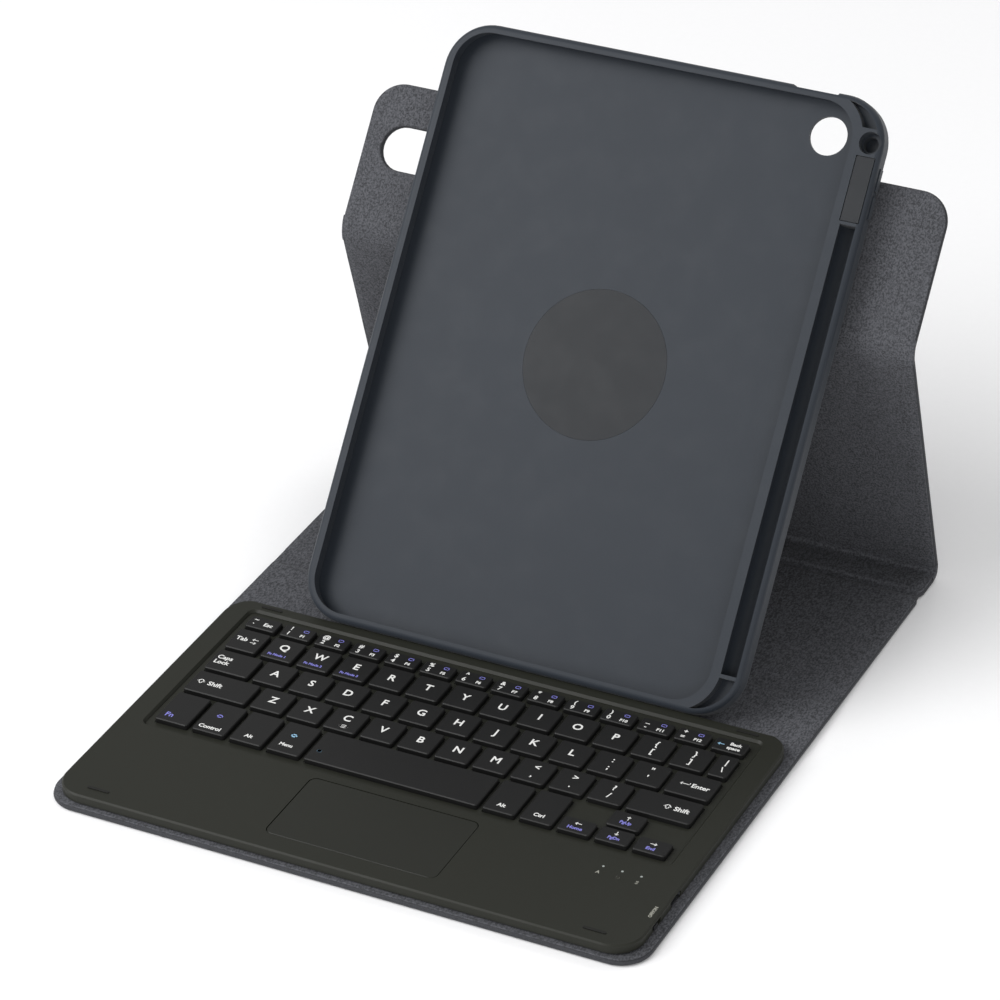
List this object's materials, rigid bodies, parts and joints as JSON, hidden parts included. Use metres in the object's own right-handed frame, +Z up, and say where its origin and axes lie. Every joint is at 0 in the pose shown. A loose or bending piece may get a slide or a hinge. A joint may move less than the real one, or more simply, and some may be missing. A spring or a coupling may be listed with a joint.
{
  "type": "tablet keyboard case",
  "caption": "Folio tablet case standing open: turning tray on a two-part folding stand, thin keyboard with touchpad lying on the front cover.",
  "frame": {"origin": "middle of the flat base's underside, on the table", "axes": "+Z up, +X to the user's right, the user sits at -Y facing the keyboard, +Y towards the stand's back fold"},
  "size_m": [0.256, 0.3126, 0.2058],
  "materials": {
    "cover_leather": "matt fine-grained synthetic leather",
    "lining_fabric": "speckled microfibre",
    "board": "grey board",
    "magnet": "nickel plated",
    "fold_leather": "matt synthetic leather",
    "tray_rubber": "soft matt thermoplastic rubber",
    "hub_plastic": "satin",
    "steel_fastener": "satin",
    "case_plastic": "matt fine texture",
    "key_plastic": "satin matt",
    "plate_metal": "brushed",
    "membrane_film": "milky film",
    "dome_rubber": "silicone",
    "pad_plastic": "fine satin",
    "circuit": "solder mask",
    "lens": "clear",
    "battery_foil": "foil pouch",
    "bumper_rubber": "soft",
    "port_metal": "plated",
    "switch_plastic": "satin"
  },
  "bodies": {
    "base": {"base_outer_skin": "cover_leather", "base_board": "board", "rear_panel_board": "board", "spine_board": "board", "base_lining": "lining_fabric", "cover_magnets": "magnet", "tray_rest_magnets": "magnet", "strut_fold_strip": "fold_leather"},
    "strut": {"strut_outer_skin": "cover_leather", "strut_board": "board", "strut_lining": "lining_fabric", "middle_fold_strips": "fold_leather"},
    "upper": {"upper_outer_skin": "cover_leather", "upper_board": "board", "upper_lining": "lining_fabric", "hub_base_ring": "hub_plastic", "hub_rivets": "steel_fastener"},
    "tray": {"tray_shell": "tray_rubber", "hub_rotor": "hub_plastic", "hub_cover_disc": "hub_plastic", "hub_screws": "steel_fastener", "volume_button_cover": "hub_plastic"},
    "volume_up": {"volume_up_button": "tray_rubber"},
    "volume_down": {"volume_down_button": "tray_rubber"},
    "keyboard": {"keyboard_top_frame": "case_plastic", "keyboard_bottom_cover": "case_plastic", "key_support_plate": "plate_metal", "contact_membrane": "membrane_film", "key_domes": "dome_rubber", "touchpad_click_switch": "switch_plastic", "indicator_lenses": "lens", "corner_bumpers": "bumper_rubber", "keyboard_magnets": "magnet", "battery_cell": "battery_foil", "circuit_board": "circuit", "charging_port": "port_metal", "power_switch_body": "switch_plastic"},
    "touchpad": {"touchpad_plate": "pad_plastic", "touchpad_sensor": "circuit"},
    "power_knob": {"power_switch_knob": "switch_plastic"},
    "key_alt_left_cap": {"key_alt_left": "key_plastic"},
    "key_alt_right_cap": {"key_alt_right": "key_plastic"},
    "key_arrow_down_cap": {"key_arrow_down": "key_plastic"},
    "key_arrow_left_cap": {"key_arrow_left": "key_plastic"},
    "key_arrow_right_cap": {"key_arrow_right": "key_plastic"},
    "key_arrow_up_cap": {"key_arrow_up": "key_plastic"},
    "key_caps_cap": {"key_caps": "key_plastic"},
    "key_control_cap": {"key_control": "key_plastic"},
    "key_control_right_cap": {"key_control_right": "key_plastic"},
    "key_enter_cap": {"key_enter": "key_plastic"},
    "key_fn_cap": {"key_fn": "key_plastic"},
    "key_shift_left_cap": {"key_shift_left": "key_plastic"},
    "key_shift_right_cap": {"key_shift_right": "key_plastic"},
    "key_space_cap": {"key_space": "key_plastic"},
    "key_system_cap": {"key_system": "key_plastic"},
    "key_tab_cap": {"key_tab": "key_plastic"},
    "keys_home_letters_caps": {"keys_home_letters": "key_plastic"},
    "keys_lower_letters_caps": {"keys_lower_letters": "key_plastic"},
    "keys_number_row_caps": {"keys_number_row": "key_plastic"},
    "keys_upper_letters_caps": {"keys_upper_letters": "key_plastic"}
  },
  "joints": [
    {"name": "back_fold", "type": "hinge", "parent": "base", "child": "strut", "pos_m": [0, 0.1555, 0.0016], "axis": [-1, 0, 0], "range_deg": [0, 105.47]},
    {"name": "mid_fold", "type": "hinge", "parent": "strut", "child": "upper", "pos_m": [0, 0.1214, 0.12485], "axis": [1, 0, 0], "range_deg": [0, 54.07]},
    {"name": "tray_turn", "type": "hinge", "parent": "upper", "child": "tray", "pos_m": [0, 0.09081, 0.10768], "axis": [0, -0.7815, 0.6239], "range_deg": [0, 90]},
    {"name": "keyboard_lift", "type": "slide", "parent": "base", "child": "keyboard", "axis": [0, -0.7815, 0.6239], "range_m": [0, 0.03]},
    {"name": "power_slide", "type": "slide", "parent": "keyboard", "child": "power_knob", "axis": [0, 1, 0], "range_m": [0, 0.003]},
    {"name": "touchpad_click", "type": "hinge", "parent": "keyboard", "child": "touchpad", "pos_m": [0.0017, -0.0861, 0.0075], "axis": [1, 0, 0], "range_deg": [0, 0.7], "stiffness_Nm_per_rad": 1.2, "springref_deg": -0.69},
    {"name": "volume_down_push", "type": "slide", "parent": "tray", "child": "volume_down", "axis": [-1, 0, 0], "range_m": [0, 0.0005], "stiffness_N_per_m": 200, "springref_m": -0.0005},
    {"name": "volume_up_push", "type": "slide", "parent": "tray", "child": "volume_up", "axis": [-1, 0, 0], "range_m": [0, 0.0005], "stiffness_N_per_m": 200, "springref_m": -0.0005},
    {"name": "press_alt_left", "type": "slide", "parent": "keyboard", "child": "key_alt_left_cap", "axis": [0, 0, -1], "range_m": [0, 0.0012], "stiffness_N_per_m": 150, "springref_m": -0.0005},
    {"name": "press_alt_right", "type": "slide", "parent": "keyboard", "child": "key_alt_right_cap", "axis": [0, 0, -1], "range_m": [0, 0.0012], "stiffness_N_per_m": 150, "springref_m": -0.0005},
    {"name": "press_arrow_down", "type": "slide", "parent": "keyboard", "child": "key_arrow_down_cap", "axis": [0, 0, -1], "range_m": [0, 0.0012], "stiffness_N_per_m": 150, "springref_m": -0.0005},
    {"name": "press_arrow_left", "type": "slide", "parent": "keyboard", "child": "key_arrow_left_cap", "axis": [0, 0, -1], "range_m": [0, 0.0012], "stiffness_N_per_m": 150, "springref_m": -0.0005},
    {"name": "press_arrow_right", "type": "slide", "parent": "keyboard", "child": "key_arrow_right_cap", "axis": [0, 0, -1], "range_m": [0, 0.0012], "stiffness_N_per_m": 150, "springref_m": -0.0005},
    {"name": "press_arrow_up", "type": "slide", "parent": "keyboard", "child": "key_arrow_up_cap", "axis": [0, 0, -1], "range_m": [0, 0.0012], "stiffness_N_per_m": 150, "springref_m": -0.0005},
    {"name": "press_caps", "type": "slide", "parent": "keyboard", "child": "key_caps_cap", "axis": [0, 0, -1], "range_m": [0, 0.0012], "stiffness_N_per_m": 150, "springref_m": -0.0005},
    {"name": "press_control", "type": "slide", "parent": "keyboard", "child": "key_control_cap", "axis": [0, 0, -1], "range_m": [0, 0.0012], "stiffness_N_per_m": 150, "springref_m": -0.0005},
    {"name": "press_control_right", "type": "slide", "parent": "keyboard", "child": "key_control_right_cap", "axis": [0, 0, -1], "range_m": [0, 0.0012], "stiffness_N_per_m": 150, "springref_m": -0.0005},
    {"name": "press_enter", "type": "slide", "parent": "keyboard", "child": "key_enter_cap", "axis": [0, 0, -1], "range_m": [0, 0.0012], "stiffness_N_per_m": 150, "springref_m": -0.0005},
    {"name": "press_fn", "type": "slide", "parent": "keyboard", "child": "key_fn_cap", "axis": [0, 0, -1], "range_m": [0, 0.0012], "stiffness_N_per_m": 150, "springref_m": -0.0005},
    {"name": "press_shift_left", "type": "slide", "parent": "keyboard", "child": "key_shift_left_cap", "axis": [0, 0, -1], "range_m": [0, 0.0012], "stiffness_N_per_m": 150, "springref_m": -0.0005},
    {"name": "press_shift_right", "type": "slide", "parent": "keyboard", "child": "key_shift_right_cap", "axis": [0, 0, -1], "range_m": [0, 0.0012], "stiffness_N_per_m": 150, "springref_m": -0.0005},
    {"name": "press_space", "type": "slide", "parent": "keyboard", "child": "key_space_cap", "axis": [0, 0, -1], "range_m": [0, 0.0012], "stiffness_N_per_m": 150, "springref_m": -0.0005},
    {"name": "press_system", "type": "slide", "parent": "keyboard", "child": "key_system_cap", "axis": [0, 0, -1], "range_m": [0, 0.0012], "stiffness_N_per_m": 150, "springref_m": -0.0005},
    {"name": "press_tab", "type": "slide", "parent": "keyboard", "child": "key_tab_cap", "axis": [0, 0, -1], "range_m": [0, 0.0012], "stiffness_N_per_m": 150, "springref_m": -0.0005},
    {"name": "press_row_home_letters", "type": "slide", "parent": "keyboard", "child": "keys_home_letters_caps", "axis": [0, 0, -1], "range_m": [0, 0.0012], "stiffness_N_per_m": 900, "springref_m": -0.0005},
    {"name": "press_row_lower_letters", "type": "slide", "parent": "keyboard", "child": "keys_lower_letters_caps", "axis": [0, 0, -1], "range_m": [0, 0.0012], "stiffness_N_per_m": 900, "springref_m": -0.0005},
    {"name": "press_row_number_row", "type": "slide", "parent": "keyboard", "child": "keys_number_row_caps", "axis": [0, 0, -1], "range_m": [0, 0.0012], "stiffness_N_per_m": 900, "springref_m": -0.0005},
    {"name": "press_row_upper_letters", "type": "slide", "parent": "keyboard", "child": "keys_upper_letters_caps", "axis": [0, 0, -1], "range_m": [0, 0.0012], "stiffness_N_per_m": 900, "springref_m": -0.0005}
  ],
  "couplings": [
    {"joint": "mid_fold", "follows": "back_fold", "ratio": 0.51264},
    {"joint": "tray_turn", "follows": "back_fold", "ratio": 0.85335}
  ]
}
